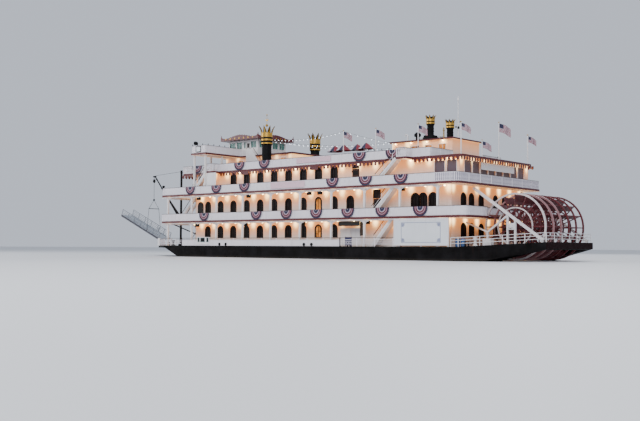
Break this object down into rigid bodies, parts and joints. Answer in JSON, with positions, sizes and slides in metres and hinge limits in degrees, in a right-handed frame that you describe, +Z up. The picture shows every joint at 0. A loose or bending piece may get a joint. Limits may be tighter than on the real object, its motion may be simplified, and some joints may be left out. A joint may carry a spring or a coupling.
{
  "type": "paddle steamer",
  "caption": "Sternwheel river steamer with three saloon decks, open side decks, tall stacks, a crested pilothouse and a bow landing stage.",
  "frame": {"origin": "middle of the boat's length and beam, at the bottom of the hull", "axes": "+X towards the bow, +Y to port, +Z up"},
  "size_m": [37.2234, 9.3268, 10.2413],
  "materials": {
    "hull_black": "satin paint",
    "trim_maroon": "satin paint",
    "house_white": "satin paint",
    "crest_red": "satin paint",
    "board_pale": "satin paint",
    "stack_black": "heat-proof paint",
    "gear_black": "satin paint",
    "stage_grey": "worn paint",
    "wheel_red": "worn paint",
    "shaft_steel": "oiled",
    "door_maroon": "varnished"
  },
  "bodies": {
    "boat": {"hull": "hull_black", "bow_guard": "hull_black", "deck_2": "trim_maroon", "deck_3": "trim_maroon", "roof_deck": "trim_maroon", "bridge_deck": "trim_maroon", "deckhouse_roof": "trim_maroon", "main_saloon_wall_port": "house_white", "main_saloon_wall_starboard": "house_white", "main_saloon_wall_front": "house_white", "main_saloon_wall_aft": "house_white", "deck_2_saloon_wall_port": "house_white", "deck_2_saloon_wall_starboard": "house_white", "deck_2_saloon_wall_front": "house_white", "deck_2_saloon_wall_aft": "house_white", "deck_3_saloon_wall_port": "house_white", "deck_3_saloon_wall_starboard": "house_white", "deck_3_saloon_wall_front": "house_white", "deck_3_saloon_wall_aft": "house_white", "main_deck_columns": "house_white", "deck_2_columns": "house_white", "texas_house_walls": "house_white", "pilothouse_walls": "house_white", "deckhouse_walls": "house_white", "main_rail_port": "house_white", "main_rail_starboard": "house_white", "deck_2_rail": "house_white", "deck_3_rail": "house_white", "roof_rail": "house_white", "bridge_rail": "house_white", "light_mast": "house_white", "wheel_frame_port": "house_white", "wheel_frame_starboard": "house_white", "pilothouse_roof": "crest_red", "sign_board_port": "board_pale", "sign_board_starboard": "board_pale", "front_stack_port": "stack_black", "front_stack_starboard": "stack_black", "rear_stack_port": "stack_black", "rear_stack_starboard": "stack_black", "bow_mast": "gear_black", "roof_vent": "stage_grey", "engine": "stage_grey"},
    "wheel": {"paddle_wheel": "wheel_red", "wheel_shaft": "shaft_steel"},
    "port_rudder": {"rudder_port": "hull_black"},
    "starboard_rudder": {"rudder_starboard": "hull_black"},
    "boom": {"stage_boom": "gear_black"},
    "fall": {"stage_fall": "gear_black"},
    "stage": {"landing_stage": "stage_grey"},
    "boarding_door_aft_port_leaf": {"boarding_door_aft_port": "door_maroon"},
    "boarding_door_fore_port_leaf": {"boarding_door_fore_port": "door_maroon"},
    "deck_2_door_port_leaf": {"deck_2_door_port": "door_maroon"},
    "deck_3_door_port_leaf": {"deck_3_door_port": "door_maroon"},
    "boarding_door_aft_starboard_leaf": {"boarding_door_aft_starboard": "door_maroon"},
    "boarding_door_fore_starboard_leaf": {"boarding_door_fore_starboard": "door_maroon"},
    "deck_2_door_starboard_leaf": {"deck_2_door_starboard": "door_maroon"},
    "deck_3_door_starboard_leaf": {"deck_3_door_starboard": "door_maroon"},
    "pilothouse_door_leaf": {"pilothouse_door": "door_maroon"}
  },
  "joints": [
    {"name": "wheel_spin", "type": "hinge", "parent": "boat", "child": "wheel", "pos_m": [-16.6, 0, 2.6975], "axis": [0, 1, 0], "continuous": true},
    {"name": "port_rudder_turn", "type": "hinge", "parent": "boat", "child": "port_rudder", "pos_m": [-16.2038, 2.9261, 0.823], "axis": [0, 0, 1], "range_deg": [-35, 35]},
    {"name": "starboard_rudder_turn", "type": "hinge", "parent": "boat", "child": "starboard_rudder", "pos_m": [-16.2038, -2.9261, 0.823], "axis": [0, 0, 1], "range_deg": [-35, 35]},
    {"name": "stage_lower", "type": "hinge", "parent": "boat", "child": "stage", "pos_m": [13.8495, 0, 2.1031], "axis": [0, 1, 0], "range_deg": [0, 30]},
    {"name": "boom_luff", "type": "hinge", "parent": "boat", "child": "boom", "pos_m": [12.295, 0, 3.7338], "axis": [0, -1, 0], "range_deg": [0, 20]},
    {"name": "fall_hang", "type": "hinge", "parent": "boom", "child": "fall", "pos_m": [15.2363, 0, 6.9037], "axis": [0, -1, 0], "range_deg": [-20, 0]},
    {"name": "boarding_door_aft_port_swing", "type": "hinge", "parent": "boat", "child": "boarding_door_aft_port_leaf", "pos_m": [-7.8218, 3.7676, 2.2098], "axis": [0, 0, 1], "range_deg": [0, 90]},
    {"name": "boarding_door_fore_port_swing", "type": "hinge", "parent": "boat", "child": "boarding_door_fore_port_leaf", "pos_m": [-6.2978, 3.7676, 2.2098], "axis": [0, 0, -1], "range_deg": [0, 90]},
    {"name": "deck_2_door_port_swing", "type": "hinge", "parent": "boat", "child": "deck_2_door_port_leaf", "pos_m": [-8.6447, 3.6543, 3.7948], "axis": [0, 0, 1], "range_deg": [0, 90]},
    {"name": "deck_3_door_port_swing", "type": "hinge", "parent": "boat", "child": "deck_3_door_port_leaf", "pos_m": [-7.1512, 3.7676, 5.5474], "axis": [0, 0, -1], "range_deg": [0, 90]},
    {"name": "boarding_door_aft_starboard_swing", "type": "hinge", "parent": "boat", "child": "boarding_door_aft_starboard_leaf", "pos_m": [-7.8218, -3.7676, 2.2098], "axis": [0, 0, -1], "range_deg": [0, 90]},
    {"name": "boarding_door_fore_starboard_swing", "type": "hinge", "parent": "boat", "child": "boarding_door_fore_starboard_leaf", "pos_m": [-6.2978, -3.7676, 2.2098], "axis": [0, 0, 1], "range_deg": [0, 90]},
    {"name": "deck_2_door_starboard_swing", "type": "hinge", "parent": "boat", "child": "deck_2_door_starboard_leaf", "pos_m": [-8.6447, -3.6543, 3.7948], "axis": [0, 0, -1], "range_deg": [0, 90]},
    {"name": "deck_3_door_starboard_swing", "type": "hinge", "parent": "boat", "child": "deck_3_door_starboard_leaf", "pos_m": [-7.1512, -3.7676, 5.5474], "axis": [0, 0, 1], "range_deg": [0, 90]},
    {"name": "pilothouse_door_swing", "type": "hinge", "parent": "boat", "child": "pilothouse_door_leaf", "pos_m": [3.5015, 1.254, 8.1534], "axis": [0, 0, -1], "range_deg": [0, 85]}
  ],
  "couplings": [
    {"joint": "starboard_rudder_turn", "follows": "port_rudder_turn", "ratio": 1},
    {"joint": "fall_hang", "follows": "boom_luff", "ratio": -1}
  ]
}
